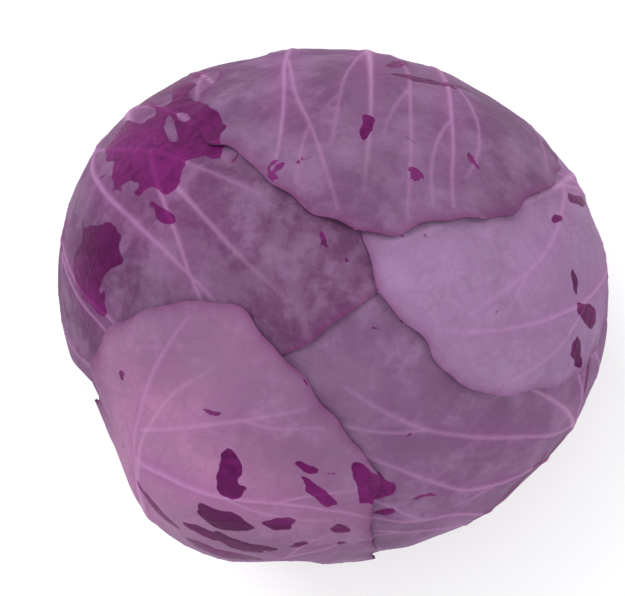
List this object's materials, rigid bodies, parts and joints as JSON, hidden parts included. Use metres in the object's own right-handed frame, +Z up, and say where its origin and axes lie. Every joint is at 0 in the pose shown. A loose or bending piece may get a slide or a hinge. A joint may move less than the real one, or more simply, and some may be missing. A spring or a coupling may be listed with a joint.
{
  "type": "cabbage head",
  "caption": "Round head of red cabbage: waxy purple leaves wrapped over a tight heart, standing on the cut face of its short stem.",
  "frame": {"origin": "centre of the stem's cut face, which the head stands on", "axes": "+Z up through the crown of the head; +X along the head's widest side to side measure; +Y towards the middle of the uppermost wrapping leaf"},
  "size_m": [0.1339, 0.1255, 0.1217],
  "materials": {
    "leaf": "purple leaf skin under a dusty lilac wax bloom, glossy and darker where the bloom is rubbed off, with paler pink veins",
    "heart": "tightly folded inner leaves, deep purple, satin",
    "stem": "pale cream pith with a purple rind, matt and slightly dried at the cut"
  },
  "bodies": {
    "root": {"stem": "stem", "heart": "heart", "leaf_01": "leaf", "leaf_02": "leaf", "leaf_03": "leaf", "leaf_04": "leaf", "leaf_05": "leaf", "leaf_06": "leaf", "leaf_07": "leaf", "leaf_08": "leaf", "leaf_09": "leaf", "leaf_10": "leaf", "leaf_11": "leaf"}
  },
  "joints": []
}
